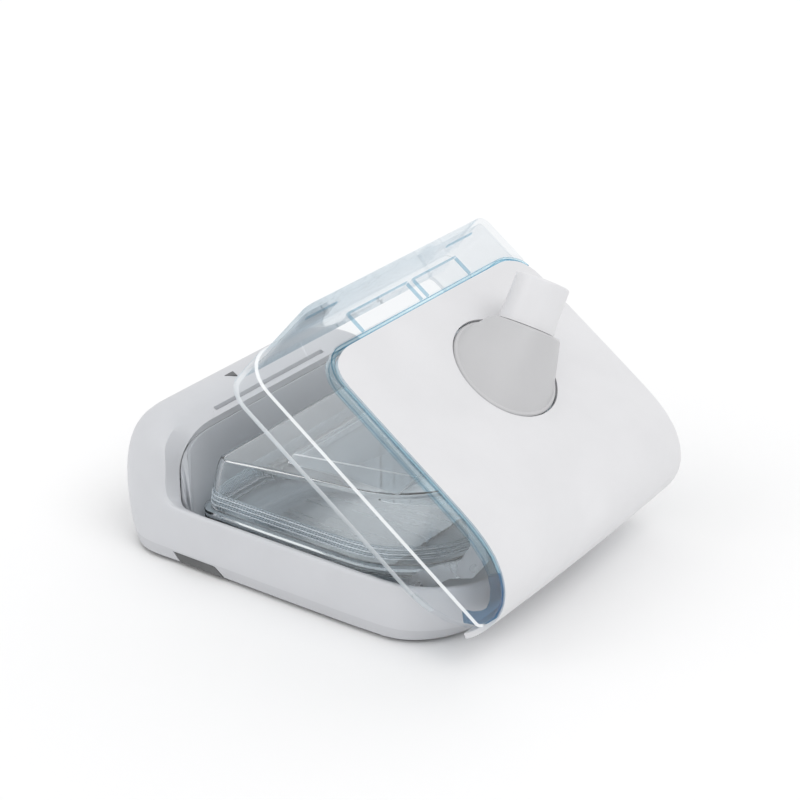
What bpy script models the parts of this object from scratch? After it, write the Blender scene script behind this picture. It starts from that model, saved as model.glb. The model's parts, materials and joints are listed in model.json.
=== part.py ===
"""Heated humidifier module with a flip-up clear lid, a lift-out water tank and a swivel outlet elbow.

Units are millimetres in the tables below and metres in the finished meshes. +Z is up, -Y is the front
(the tall wall), +X is the side with the open window. The lid is built in its open rest position.
"""
import math

import bmesh
import bpy
from mathutils import Vector

# ---- driving dimensions (mm, degrees) -------------------------------------------------------------
MM = 0.001
HALF_W = 70.0            # half width of base and lid
FRONT_Y = -98.2          # widest point of the front face
BACK_Y = 76.0            # back face of the base
R_FRONT = 26.0           # plan radius of the front corners
R_BACK = 36.0            # plan radius of the back corners
RIM_Z = 25.8             # rim height along the sides and the back
FRONT_TOP = 57.1         # rim height of the tall front wall
RIM_FRONT_Y = -66.5      # inner rim of the tall front wall
WALL = 2.0               # shell wall
GAP = 0.4                # running gap between neighbouring pieces
HINGE_Y = 51.0           # lid hinge axis
HINGE_Z = 22.3
OPEN_DEG = 35.7          # lid opening at rest
LID_LOW_N = 52.06        # lower edge of the clear walls above the lid datum
LID_TOP_N = 94.06        # top face of the lid above the lid datum
LID_FRONT_LOW = -76.8    # front wall of the lid, lower edge
LID_FRONT_TOP = -74.6    # front wall of the lid, upper edge
PANEL_HALF = 64.4        # panel edge on the side with the window
PANEL_FAR = 68.4         # panel edge on the docking side
PANEL_FRONT = -51.6      # front edge of the white lid panel
PANEL_R = 12.5           # plan radius of the panel's front corners
ELBOW_X = -9.0           # swivel axis on the lid
ELBOW_L = -13.0
DISC_R = 23.0            # swivel disc
PORT_R = 11.0            # 22 mm conical outlet, outside
BORE_R = 9.2             # outlet bore
PORT_LEN = 36.0          # swivel axis to the end of the outlet
COLLAR_S = 16.0          # swivel axis to the collar edge
COLLAR_R = 14.6
SPIGOT = -12.7           # end of the swivel spigot below the lid skin
TANK_RISE = 6.6          # rise of the tank's sloping top
TANK_TOP = 54.0
FLANGE_Z = 22.0          # underside of the tank flange
FLOOR_Z = 9.0            # underside of the well floor
FOOT_H = 2.7
SHIFT_Y = 2.16           # moves the design datum to the middle of the open module's length

TH = math.radians(OPEN_DEG)
COS = math.cos(TH)
SIN = math.sin(TH)


# ---- helpers --------------------------------------------------------------------------------------
def clear_scene():
    for obj in list(bpy.data.objects):
        bpy.data.objects.remove(obj, do_unlink=True)
    for mesh in list(bpy.data.meshes):
        bpy.data.meshes.remove(mesh)


def material(name, colour, rough, metal=0.0, alpha=1.0):
    mat = bpy.data.materials.new(name)
    mat.use_nodes = True
    shader = mat.node_tree.nodes["Principled BSDF"]
    shader.inputs["Base Color"].default_value = (*colour, 1.0)
    shader.inputs["Roughness"].default_value = rough
    shader.inputs["Metallic"].default_value = metal
    shader.inputs["Alpha"].default_value = alpha
    mat.diffuse_color = (*colour, alpha)
    return mat


def world(x, length, normal):
    """Lid datum coordinates (x, along the lid, above the lid) to the shared frame, lid open."""
    return (x, length * COS + normal * SIN, -length * SIN + normal * COS)


def lid_axis(dx, dl, dn):
    return Vector((dx, dl * COS + dn * SIN, -dl * SIN + dn * COS))


def make(name, verts, faces, mat, origin=(0.0, 0.0, 0.0), smooth=None):
    """One closed object. verts and origin are mm in the design datum, shifted here to the shared frame."""
    mesh = bpy.data.meshes.new(name)
    ox, oy, oz = origin
    scaled = [((x - ox) * MM, (y - oy) * MM, (z - oz) * MM) for x, y, z in verts]
    mesh.from_pydata(scaled, [], faces)
    mesh.materials.append(mat)
    bm = bmesh.new()
    bm.from_mesh(mesh)
    bmesh.ops.remove_doubles(bm, verts=bm.verts, dist=0.00001)
    bmesh.ops.dissolve_degenerate(bm, dist=0.000005, edges=bm.edges)
    bmesh.ops.recalc_face_normals(bm, faces=bm.faces)
    if bm.calc_volume(signed=True) < 0:
        bmesh.ops.reverse_faces(bm, faces=bm.faces)
    bm.to_mesh(mesh)
    bm.free()
    obj = bpy.data.objects.new(name, mesh)
    obj.location = (ox * MM, (oy + SHIFT_Y) * MM, oz * MM)
    bpy.context.scene.collection.objects.link(obj)
    if smooth is not None:
        mesh.shade_smooth() if hasattr(mesh, "shade_smooth") else None
        mesh.set_sharp_from_angle(angle=math.radians(smooth))
    return obj


def loft(rings, closed=False):
    """Skin of equal-length rings. closed joins the last ring to the first; otherwise both are capped."""
    n = len(rings[0])
    verts = [p for ring in rings for p in ring]
    faces = []
    steps = len(rings) if closed else len(rings) - 1
    for k in range(steps):
        a = k * n
        b = ((k + 1) % len(rings)) * n
        for i in range(n):
            j = (i + 1) % n
            faces.append((a + i, a + j, b + j, b + i))
    if not closed:
        faces.append(tuple(range(n - 1, -1, -1)))
        faces.append(tuple(range((len(rings) - 1) * n, len(rings) * n)))
    return verts, faces


def arc(cx, cy, r, a0, a1, n):
    pts = []
    for i in range(n + 1):
        a = math.radians(a0 + (a1 - a0) * i / n)
        pts.append((cx + r * math.cos(a), cy + r * math.sin(a)))
    return pts


SIDE_ROWS = (0.0, 0.12, 0.2, 0.45, 0.7)


def outline(hw, yf, yb, rf, rb, ncorner=7, cx=0.0, rfl=None):
    """Rounded plan outline, counter-clockwise from the front centre, always the same point count."""
    rfl = rf if rfl is None else rfl
    pts = [(cx, yf), (cx + 0.5 * (hw - rf), yf)]
    pts += arc(cx + hw - rf, yf + rf, rf, -90, 0, ncorner)
    y0 = yf + rf
    y1 = yb - rb
    pts += [(cx + hw, y0 + (y1 - y0) * t) for t in SIDE_ROWS[1:]]
    pts += arc(cx + hw - rb, y1, rb, 0, 90, ncorner)
    pts += [(cx + 0.5 * (hw - rb), yb), (cx, yb), (cx - 0.5 * (hw - rb), yb)]
    pts += arc(cx - hw + rb, y1, rb, 90, 180, ncorner)
    y0 = yf + rfl
    pts += [(cx - hw, y0 + (y1 - y0) * t) for t in reversed(SIDE_ROWS[1:])]
    pts += arc(cx - hw + rfl, yf + rfl, rfl, 180, 270, ncorner)
    pts += [(cx - 0.5 * (hw - rfl), yf)]
    return pts


def flat(pts, z):
    return [(x, y, z) for x, y in pts]


def box(name, x0, x1, y0, y1, z0, z1, mat, r=1.0, origin=(0.0, 0.0, 0.0), chamfer=0.0):
    """Upright block with rounded plan corners and an optional chamfer top and bottom."""
    cx = 0.5 * (x0 + x1)
    hw = 0.5 * (x1 - x0)
    r = min(r, hw * 0.98, 0.49 * (y1 - y0))
    full = [(cx + px, py) for px, py in small_outline(hw, y0, y1, r)]
    c = chamfer
    if c > 0:
        inner = [(cx + px, py) for px, py in small_outline(hw - c, y0 + c, y1 - c, max(r - c, 0.2))]
        rings = [flat(inner, z0), flat(full, z0 + c), flat(full, z1 - c), flat(inner, z1)]
    else:
        rings = [flat(full, z0), flat(full, z1)]
    verts, faces = loft(rings)
    return make(name, verts, faces, mat, origin, 35)


def small_outline(hw, y0, y1, r, n=4):
    pts = arc(hw - r, y0 + r, r, -90, 0, n)
    pts += arc(hw - r, y1 - r, r, 0, 90, n)
    pts += arc(-hw + r, y1 - r, r, 90, 180, n)
    pts += arc(-hw + r, y0 + r, r, 180, 270, n)
    return pts


def ring_of(centre, u, v, r, n=32):
    c = Vector(centre)
    out = []
    for i in range(n):
        a = 2 * math.pi * i / n
        p = c + u * (r * math.cos(a)) + v * (r * math.sin(a))
        out.append((p.x, p.y, p.z))
    return out


def turned(name, centre, axis, profile, mat, n=32, origin=None, closed=False):
    """Turned body: profile is (distance along axis, radius)."""
    w = Vector(axis).normalized()
    u = w.orthogonal().normalized()
    v = w.cross(u)
    c = Vector(centre)
    rings = [ring_of(c + w * s, u, v, r, n) for s, r in profile]
    verts, faces = loft(rings, closed)
    return make(name, verts, faces, mat, centre if origin is None else origin, 35)


def subtract(target, cutters):
    for cutter in cutters:
        cutter.hide_render = True
        cutter.display_type = "WIRE"
        mod = target.modifiers.new("cut_" + cutter.name, "BOOLEAN")
        mod.operation = "DIFFERENCE"
        mod.solver = "EXACT"
        mod.object = cutter
    bpy.context.view_layer.update()
    graph = bpy.context.evaluated_depsgraph_get()
    done = bpy.data.meshes.new_from_object(target.evaluated_get(graph))
    target.modifiers.clear()
    target.data = done
    for cutter in cutters:
        bpy.data.objects.remove(cutter, do_unlink=True)
    tidy(target)


def tidy(obj):
    bm = bmesh.new()
    bm.from_mesh(obj.data)
    bmesh.ops.remove_doubles(bm, verts=bm.verts, dist=0.000005)
    bmesh.ops.dissolve_degenerate(bm, dist=0.000002, edges=bm.edges)
    bmesh.ops.recalc_face_normals(bm, faces=bm.faces)
    bm.to_mesh(obj.data)
    bm.free()
    obj.data.set_sharp_from_angle(angle=math.radians(35))


# ---- base -----------------------------------------------------------------------------------------
# outer skin, one row per ring: front inset, front height, side inset, side height, back inset
SKIN_ROWS = (
    (6.7, 1.9, 0.9, 1.9, 8.9),
    (3.4, 7.5, 0.3, 5.5, 6.1),
    (1.2, 15.0, 0.0, 9.0, 3.5),
    (0.2, 25.0, 0.0, 13.0, 1.5),
    (0.3, 35.0, 0.0, 17.0, 0.3),
    (1.9, 43.5, 0.0, 20.0, 0.0),
    (5.0, 50.0, 0.0, 22.5, 0.0),
    (9.8, 54.6, 0.0, 24.2, 0.0),
    (15.6, 57.0, 0.15, 25.1, 0.15),
    (21.8, 57.7, 0.5, 25.6, 0.5),
    (27.6, 57.1, 1.0, 25.8, 1.0),
    (31.7, 55.6, 1.8, 25.8, 1.8),
)
# inside of the hollow front wall and of the side walls, from the ledge down to the bottom edge
CAVITY_ROWS = (
    (26.0, 52.0, 2.0, 20.5, 2.0),
    (15.4, 54.6, 2.0, 18.0, 2.0),
    (11.0, 52.6, 2.0, 15.0, 2.3),
    (7.0, 48.6, 2.0, 12.0, 4.0),
    (3.0, 36.0, 2.0, 9.0, 5.5),
    (2.9, 15.0, 2.2, 6.0, 8.0),
    (8.9, 1.9, 2.9, 1.9, 10.9),
)
# right half of the mouth from the front centre: rim point, ledge point, front share, upright share
MOUTH = (
    ((0.0, -66.5, 57.1), (0.0, -61.6, 53.4), 1.0, 0.0),
    ((20.0, -66.5, 57.1), (19.0, -61.6, 53.4), 1.0, 0.0),
    ((36.0, -66.5, 57.1), (33.5, -61.6, 53.4), 1.0, 0.0),
    ((45.5, -66.5, 57.1), (41.5, -61.6, 53.4), 1.0, 0.0),
    ((51.5, -66.5, 57.0), (46.0, -61.6, 53.2), 1.0, 0.0),
    ((56.0, -66.5, 56.5), (50.0, -61.7, 52.2), 1.0, 0.1),
    ((59.6, -66.5, 55.4), (53.5, -61.8, 50.6), 1.0, 0.25),
    ((62.6, -66.4, 53.7), (56.5, -61.9, 48.2), 1.0, 0.45),
    ((65.0, -66.0, 51.4), (59.0, -62.1, 45.4), 1.0, 0.7),
    ((66.7, -65.2, 48.8), (60.8, -62.2, 42.2), 1.0, 0.9),
    ((67.6, -64.2, 46.0), (61.8, -62.2, 38.8), 1.0, 1.0),
    ((68.0, -63.2, 41.5), (62.2, -62.0, 35.0), 0.96, 1.0),
    ((68.0, -62.5, 36.0), (62.4, -61.7, 31.0), 0.85, 0.9),
    ((68.0, -61.8, 31.0), (62.9, -61.2, 28.0), 0.68, 0.7),
    ((68.0, -60.8, 28.0), (64.0, -60.2, 26.2), 0.45, 0.4),
    ((68.0, -58.8, 26.3), (65.6, -58.3, 25.3), 0.2, 0.15),
    ((68.0, -55.0, 25.8), (67.3, -54.8, 25.2), 0.05, 0.0),
)
FRONT_SHARES = (0.0, 0.32, 0.58, 0.77, 0.90)
FLANK_SHARES = (0.04, 0.09, 0.16, 0.30, 0.55, 0.80)


def half_outline(hw, yf, yb, rf, rb):
    """Right half of a rounded plan outline, front centre to back centre, spaced like the mouth."""
    pts = [((hw - rf) * t, yf) for t in FRONT_SHARES]
    pts += arc(hw - rf, yf + rf, rf, -90, 0, 8)
    pts += [(hw, yf + rf + (yb - rb - yf - rf) * t) for t in FLANK_SHARES]
    pts += arc(hw - rb, yb - rb, rb, 0, 90, 7)
    pts += [(0.5 * (hw - rb), yb), (0.0, yb)]
    return pts


def both_halves(points):
    """Full ring from the right half: the middle points are shared."""
    return points + [(-x, *rest) for x, *rest in points[-2:0:-1]]


def level(z, *sizes):
    return both_halves([(x, y, z) for x, y in half_outline(*sizes)])


def mouth_rim():
    """Rim and ledge points of the right half, round to the back centre."""
    plain = half_outline(HALF_W - WALL, RIM_FRONT_Y, BACK_Y - WALL, 5.0, R_BACK - WALL)
    rows = list(MOUTH)
    for x, y in plain[len(MOUTH):]:
        rows.append(((x, y, RIM_Z), (x, y, RIM_Z - 0.6), 0.0, 0.0))
    return rows


def build_base_shell(mats):
    outer = half_outline(HALF_W, FRONT_Y, BACK_Y, R_FRONT, R_BACK)
    rim = mouth_rim()
    depth = RIM_FRONT_Y - FRONT_Y

    def skin_ring(row):
        fi, fz, si, sz, bi = row
        ring = []
        for (ox, oy), ((ix, iy, iz), _, f, _) in zip(outer, rim):
            high = (iz - RIM_Z) / (FRONT_TOP - RIM_Z)
            back = min(max((oy - (BACK_Y - R_BACK)) / R_BACK, 0.0), 1.0) ** 1.5
            low = (si * (1 - back) + bi * back) / WALL
            span = math.hypot(ix - ox, iy - oy)
            side = min(low, 1.06 if back == 0 else 9.0) * max(WALL / span, 1 - f)
            frac = f * (fi / depth) + (1 - f) * side
            ring.append((ox + (ix - ox) * frac, oy + (iy - oy) * frac, sz + (fz - sz) * high))
        return both_halves(ring)

    rings = [skin_ring(row) for row in SKIN_ROWS]
    ledge, under, tuck = [], [], []
    for (ix, iy, iz), (px, py, pz), f, s in rim:
        high = (iz - RIM_Z) / (FRONT_TOP - RIM_Z)
        ledge.append((px, py, pz))
        drop = (1.2 + 1.4 * high) * (1 - s) + 0.3
        under.append((px, py - 2.4 * s, pz - drop))
        tuck.append((px + 0.4 * (ix - px), py - 2.4 * s + 0.4 * (iy - py), pz - drop - 1.5 * (1 - f)))
    rings += [both_halves(ledge), both_halves(under), both_halves(tuck)]
    rings += [skin_ring(row) for row in CAVITY_ROWS]
    verts, faces = loft(rings, closed=True)
    obj = make("base_shell", verts, faces, mats["shell"], smooth=38)
    cuts = []
    cuts.append(turned("cut_inlet", (-75.0, -18.0, 14.5), (1, 0, 0), [(0, 7.6), (9, 7.6)], mats["shell"], 24))
    cuts.append(box("cut_dock", -75, -66, 12, 40, 8.2, 18.2, mats["shell"], 1.5))
    cuts.append(box("cut_latch", -75, -66, -54.0, -42.0, 9.0, 17.0, mats["shell"], 1.5))
    cuts.append(box("cut_slot", -36, 36, -65.6, -63.6, 48, 60, mats["shell"], 0.7))
    for sx in (1, -1):
        profile = ((-60.9, 5.8), (-56.6, 0.5), (-33.3, 0.5), (-39.2, 5.8))
        cuts.append(side_prism("cut_insert%d" % sx, profile, sx * 64.8, sx * 72.0, mats["shell"]))
    subtract(obj, cuts)
    return obj


def side_prism(name, profile, x0, x1, mat, origin=(0.0, 0.0, 0.0)):
    """Prism along X from a (y, z) profile."""
    verts, faces = loft([[(x, y, z) for y, z in profile] for x in (x0, x1)])
    return make(name, verts, faces, mat, origin, 38)


def build_liner(mats):
    rim = mouth_rim()
    outer_top, inner_top = [], []
    side = half_outline(67.5, -61.5, 73.5, 5.0, 33.6)
    side_in = half_outline(66.0, -60.0, 72.0, 4.0, 32.4)
    for k, (_, (px, py, pz), _, s) in enumerate(rim):
        if k < len(MOUTH) - 1:
            x, y, z = px - 0.5 * s, py - 1.4 * (1 - s), pz - 3.1 * (1 - s) - 0.5 * s
            z = max(z, 23.2)
            outer_top.append((x, y, z))
            inner_top.append((x - 1.1 * s, y + 1.5 - 0.4 * s, z))
        else:
            outer_top.append((*side[k], 23.2))
            inner_top.append((*side_in[k], 23.2))
    rings = [
        both_halves(outer_top),
        both_halves(inner_top),
        level(19.0, 66.0, -56.1, 72.0, 6.0, 32.4),
        level(FLOOR_Z + 2.2, 61.2, -52.0, 65.2, 7.5, 31.0),
        level(FLOOR_Z + 1.4, 59.6, -50.5, 63.6, 7.0, 30.0),
        level(FLOOR_Z + 1.4, 43.0, -35.0, 25.0, 5.0, 5.0),
        level(FLOOR_Z, 43.0, -35.0, 25.0, 5.0, 5.0),
        level(FLOOR_Z, 62.5, -53.0, 66.5, 8.0, 32.0),
        level(19.0, 67.5, -57.4, 73.5, 7.0, 33.6),
    ]
    verts, faces = loft(rings, closed=True)
    obj = make("base_liner", verts, faces, mats["liner"], smooth=38)
    cuts = [
        box("cut_latch2", -70, -62, -54.2, -41.8, 8.8, 17.2, mats["liner"], 1.5),
        turned("cut_inlet2", (-72.0, -18.0, 14.5), (1, 0, 0), [(0, 6.4), (14, 6.4)], mats["liner"], 24),
        turned("cut_pin_r", (60.0, HINGE_Y, HINGE_Z), (1, 0, 0), [(0, 2.6), (10, 2.6)], mats["liner"], 20),
        turned("cut_pin_l", (-60.0, HINGE_Y, HINGE_Z), (-1, 0, 0), [(0, 2.6), (10, 2.6)], mats["liner"], 20),
    ]
    subtract(obj, cuts)
    return obj


def build_underside(mats):
    c0 = outline(65.2, -88.2, 64.0, 21.0, 30.0)
    c1 = outline(65.2, -88.2, 64.0, 21.0, 30.0)
    verts, faces = loft([flat(c0, 2.8), flat(c1, 4.4)])
    cover = make("bottom_cover", verts, faces, mats["liner"], smooth=38)
    cuts = []
    for k in range(5):
        y = -66.0 + 4.5 * k
        cuts.append(box("cut_vent%d" % k, -18, 18, y, y + 2.0, 2, 6, mats["liner"], 0.9))
    subtract(cover, cuts)
    for name, sx, y0 in (
        ("foot_front_right", 1, -59.0),
        ("foot_front_left", -1, -59.0),
        ("foot_back_right", 1, 22.0),
        ("foot_back_left", -1, 22.0),
    ):
        x0, x1 = (52.0, 64.2) if sx > 0 else (-64.2, -52.0)
        box(name, x0, x1, y0, y0 + 21.0, 0.0, FOOT_H - 0.5, mats["rubber"], 1.2, chamfer=0.8)
    for name, sx in (("side_grip_right", 1), ("side_grip_left", -1)):
        profile = ((-60.1, 5.4), (-57.3, 1.9), (-35.3, 1.9), (-39.6, 5.4))
        side_prism(name, profile, sx * 66.0, sx * 69.4, mats["rubber"])


def build_heater(mats):
    box("heater_insulator", -45, 45, -37, 27, 4.9, 6.3, mats["mica"], 5.0)
    verts, faces = loft([
        flat(small_outline(42.4, -34.4, 24.4, 4.6), 9.3),
        flat(small_outline(42.4, -34.4, 24.4, 4.6), 10.7),
        flat(small_outline(41.9, -33.9, 23.9, 4.2), 11.1),
    ])
    make("heater_plate", verts, faces, mats["steel"], (0.0, -5.0, 10.2), 38)
    for name, x, y in (("heater_spring_a", 30.0, -22.0), ("heater_spring_b", -30.0, -22.0),
                       ("heater_spring_c", 0.0, 16.0)):
        spring(name, x, y, 6.6, 9.0, 4.0, 0.42, 2.2, mats["steel"])
    turned("thermistor", (0.0, -5.0, 6.6), (0, 0, 1), [(0, 2.6), (1.0, 2.6), (1.5, 1.6)], mats["mica"], 18)
    box("control_board", -44, 44, -90, -64, 12.0, 13.6, mats["board"], 2.0)


def spring(name, x, y, z0, z1, r, wire, turns, mat):
    steps = 12 * int(round(turns + 0.5))
    rings = []
    for i in range(steps + 1):
        t = i / steps
        a = 2 * math.pi * turns * t
        c = Vector((x + r * math.cos(a), y + r * math.sin(a), z0 + wire + (z1 - z0 - 2 * wire) * t))
        out = Vector((math.cos(a), math.sin(a), 0.0))
        rings.append([tuple(c + out * (wire * math.cos(b)) + Vector((0, 0, wire * math.sin(b))))
                      for b in [2 * math.pi * j / 6 for j in range(6)]])
    verts, faces = loft(rings)
    make(name, verts, faces, mat, (x, y, z0), 60)


def build_docking(mats):
    turned("air_inlet", (-68.7, -18.0, 14.5), (1, 0, 0),
           [(0, 7.2), (0.8, 7.2), (0.8, 6.0), (4.2, 6.0), (4.2, 4.8), (0, 4.8)],
           mats["liner"], 24, closed=True)
    turned("inlet_seal", (-69.9, -18.0, 14.5), (1, 0, 0),
           [(0, 6.8), (0.9, 7.1), (0.9, 5.2), (0, 5.6)], mats["rubber"], 24, closed=True)
    box("dock_connector", -68.8, -67.9, 12.6, 39.4, 8.8, 17.6, mats["liner"], 1.2)
    for k in range(5):
        y = 17.0 + 4.2 * k
        box("dock_contact_%d" % (k + 1), -69.8, -69.1, y, y + 1.8, 10.6, 15.8, mats["brass"], 0.3)
    box("dock_latch", -69.9, -66.9, -53.4, -42.6, 9.6, 16.4, mats["shell"], 1.2, (-69.4, -48.0, 13.0), 0.5)
    box("lid_release", -35.4, 35.4, -65.3, -63.9, 51.6, 53.4, mats["liner"], 0.6, (0.0, -64.6, 52.5))


# ---- tank -----------------------------------------------------------------------------------------
def build_tank(mats):
    flange = outline(64.4, -51.8, 62.6, 7.0, 41.0)
    base = [
        flat(outline(50.0, -42.0, 46.0, 12.0, 30.0), 12.9),
        flat(outline(54.5, -45.0, 50.0, 13.0, 34.0), 14.6),
        flat(outline(59.6, -48.2, 55.6, 8.0, 38.0), 20.6),
        flat(outline(60.1, -48.6, 56.2, 8.0, 38.5), FLANGE_Z),
        flat(flange, FLANGE_Z),
        flat(flange, FLANGE_Z + 1.3),
        flat(outline(58.6, -47.1, 54.6, 7.0, 37.0), FLANGE_Z + 1.3),
        flat(outline(58.1, -46.7, 54.1, 7.0, 37.0), 20.6),
        flat(outline(53.0, -43.6, 48.6, 12.0, 33.0), 15.6),
        flat(outline(49.4, -41.4, 45.4, 11.6, 29.6), 14.4),
    ]
    verts, faces = loft(base)
    make("tank_base", verts, faces, mats["clear"], (0.0, 0.0, 12.9), 38)
    verts, faces = loft([flat(small_outline(43.0, -35.0, 25.0, 5.0), 11.4),
                         flat(small_outline(43.6, -35.6, 25.6, 5.4), 12.5)])
    make("tank_heat_plate", verts, faces, mats["steel"], (0.0, -5.0, 12.0), 38)
    z = FLANGE_Z + 1.6
    verts, faces = loft([
        flat(outline(63.6, -51.0, 61.8, 6.4, 40.4), z),
        flat(outline(63.6, -51.0, 61.8, 6.4, 40.4), z + 0.9),
        flat(outline(61.2, -49.2, 58.4, 5.4, 38.6), z + 0.9),
        flat(outline(61.2, -49.2, 58.4, 5.4, 38.6), z),
    ], closed=True)
    make("tank_seal", verts, faces, mats["seal"], (0.0, 0.0, z), 38)
    zf = z + 1.2
    hole = [(ELBOW_X + 15.0 * math.cos(a), 9.0 + 15.0 * math.sin(a)) for a in hole_angles()]
    top = TANK_TOP - TANK_RISE
    verts, faces = loft([
        flat(flange, zf),
        flat(flange, zf + 1.3),
        flat(outline(61.8, -49.6, 58.8, 6.0, 39.0), zf + 1.3),
        flat(outline(61.0, -48.6, 58.0, 6.0, 39.0), 36.0),
        slope(outline(59.8, -46.6, 56.0, 5.4, 37.4), top - 1.6),
        slope(outline(58.6, -45.4, 54.4, 4.8, 36.4), top),
        slope(outline(38.0, -22.0, 36.0, 11.0, 24.0), top),
        slope(hole, top),
        slope(hole, top - 1.4),
        slope(outline(37.0, -21.0, 35.0, 11.0, 23.0), top - 1.4),
        slope(outline(57.6, -44.4, 53.6, 4.4, 35.4), top - 1.4),
        slope(outline(58.3, -45.1, 54.5, 4.6, 35.9), top - 2.8),
        flat(outline(59.5, -47.1, 56.5, 5.0, 37.6), 36.0),
        flat(outline(60.3, -48.1, 57.2, 5.0, 37.8), zf),
    ], closed=True)
    make("tank_lid", verts, faces, mats["clear"], (0.0, 0.0, zf), 38)
    build_baffle(mats)


def slope(pts, z):
    """Top surface of the tank lid: low at the front, level over the back half."""
    return [(x, y, z + min(max((y + 45.0) / 60.0, 0.0), 1.0) * TANK_RISE) for x, y in pts]


def hole_angles():
    ref = outline(60.0, -50.0, 58.0, 14.0, 38.0)
    return [math.atan2(y - 9.0, x - ELBOW_X) for x, y in ref]


def build_baffle(mats):
    pts = []
    for i in range(13):
        a = math.radians(200.0 - 220.0 * i / 12)
        pts.append((ELBOW_X + 22.0 * math.cos(a), 9.0 + 22.0 * math.sin(a)))
    outer = [(ELBOW_X + (x - ELBOW_X) * 1.07, 9.0 + (y - 9.0) * 1.07) for x, y in pts]
    loop = pts + outer[::-1]
    verts, faces = loft([flat(loop, 28.0), flat(loop, 48.4)])
    make("tank_baffle", verts, faces, mats["clear"], (ELBOW_X, 9.0, 28.0), 38)


# ---- lid ------------------------------------------------------------------------------------------
# height above the lid datum, position of the clear wall's back edge
BACK_CURVE = (
    (52.06, 33.0), (53.2, 40.0), (56.5, 47.4), (62.0, 54.2), (68.0, 57.9), (73.5, 58.8),
    (79.8, 57.5), (85.5, 53.8), (90.2, 47.4), (93.0, 39.0), (94.06, 28.0),
)


def lid_front(n):
    t = (n - LID_LOW_N) / (LID_TOP_N - LID_LOW_N)
    return LID_FRONT_LOW + (LID_FRONT_TOP - LID_FRONT_LOW) * t


def lid_ring(n, lb, inset):
    """Ring of the clear shell: the open side's front corner is rounder than the docking side's."""
    near = 13.0 + 9.0 * (n - LID_LOW_N) / (LID_TOP_N - LID_LOW_N) - inset
    far = max(5.0 - inset, 1.2)
    pts = outline(HALF_W - inset, lid_front(n) + inset, lb - inset, near, 2.6 - 0.8 * inset, rfl=far)
    return [world(x, y, n) for x, y in pts]


def build_lid_shell(mats):
    outer = []
    for n, lb in BACK_CURVE:
        step = 0.0 if n < 67.0 else 1.1
        outer.append(lid_ring(n, lb, step))
    outer.insert(4, lid_ring(66.6, 57.1, 0.0))
    outer.insert(5, lid_ring(67.2, 57.5, 1.1))
    top = outline(HALF_W - 2.2, LID_FRONT_TOP + 2.2, 26.0, 19.5, 2.0, rfl=3.0)
    cap = [world(x, y, LID_TOP_N) for x, y in top]
    outer[-1] = lid_ring(93.3, 37.6, 1.2)
    inner = []
    for n, lb in BACK_CURVE[:-1]:
        inner.append(lid_ring(n, lb, 2.6 if n > 67.0 else 2.2))
    inner = inner[:9] + [lid_ring(91.6, 42.6, 3.0)]
    rings = inner[::-1] + outer + [cap]
    verts, faces = loft(rings)
    origin = (0.0, HINGE_Y, HINGE_Z)
    obj = make("lid_shell", verts, faces, mats["clear"], origin, smooth=38)
    deep = seat_cutter("cut_seat", panel_outline(2.5, 66.4), 45.0, mats)
    shallow = [(x, min(y, 27.0)) for x, y in panel_outline(2.5, 72.0)]
    over = seat_cutter("cut_over", shallow, 91.6, mats)
    rows = [[skin_point(x, k, d) for x, d in ((-74.0, -6.0), (-66.0, -6.0), (-66.0, 2.6), (-74.0, 2.6))]
            for k in range(7, len(SKIN))]
    verts, faces = loft(rows)
    curl = make("cut_curl", verts, faces, mats["clear"], origin)
    subtract(obj, [deep, over, curl])
    return obj


def panel_outline(grow, far):
    """Plan outline of the panel seat: right back end, front with two round corners, left back end."""
    hw = PANEL_HALF + grow
    front = PANEL_FRONT - grow
    r = PANEL_R + grow
    pts = [(hw, 80.0)]
    pts += [(x, y) for x, y in reversed(arc(hw - r, front + r, r, -90, 0, 7))]
    pts += [(x, y) for x, y in reversed(arc(-far + r, front + r, r, 180, 270, 7))]
    pts += [(-far, 80.0)]
    return pts


def seat_cutter(name, side, low, mats):
    verts = [world(x, y, low) for x, y in side] + [world(x, y, 110.0) for x, y in side]
    m = len(side)
    faces = [tuple(range(m - 1, -1, -1)), tuple(range(m, 2 * m))]
    faces += [(i, (i + 1) % m, m + (i + 1) % m, m + i) for i in range(m)]
    return make(name, verts, faces, mats["clear"], (0.0, HINGE_Y, HINGE_Z))


# path of the lid's top skin from the front edge over the back, as (along the lid, above the datum)
SKIN = (
    (-51.6, 94.2), (-49.5, 94.2), (-46.0, 94.2), (-41.5, 94.2), (-36.5, 94.2), (-30.0, 94.2), (-13.0, 94.2),
    (5.0, 94.2), (20.0, 94.2), (29.0, 94.0), (36.0, 93.2), (42.5, 91.6), (48.6, 88.6), (53.6, 84.4),
    (57.2, 79.0), (58.9, 73.0), (59.0, 66.6), (58.0, 60.0), (56.6, 55.4), (55.4, 53.2),
)
TRIM_SKIN = SKIN[:16] + ((57.8, 67.4), (55.0, 62.6), (51.4, 59.0))


def skin_frame(k, skin):
    a = skin[max(k - 1, 0)]
    b = skin[min(k + 1, len(skin) - 1)]
    d = math.hypot(b[0] - a[0], b[1] - a[1])
    return ((b[0] - a[0]) / d, (b[1] - a[1]) / d)


def skin_point(x, k, depth, skin=SKIN):
    """Point of the skin row k, sunk by depth along the inward normal."""
    tl, tn = skin_frame(k, skin)
    length, height = skin[k]
    return world(x, length + tn * depth, height - tl * depth)


def crown(x):
    return max(0.9 * (1.0 - (x / PANEL_HALF) ** 2), 0.0)


def corner_loss(length):
    """How much narrower the panel is, each side, where its front corners turn."""
    d = max(length - PANEL_FRONT, 0.0)
    if d >= PANEL_R:
        return 0.0
    return PANEL_R - math.sqrt(max(PANEL_R * PANEL_R - (PANEL_R - d) ** 2, 0.0))


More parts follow.
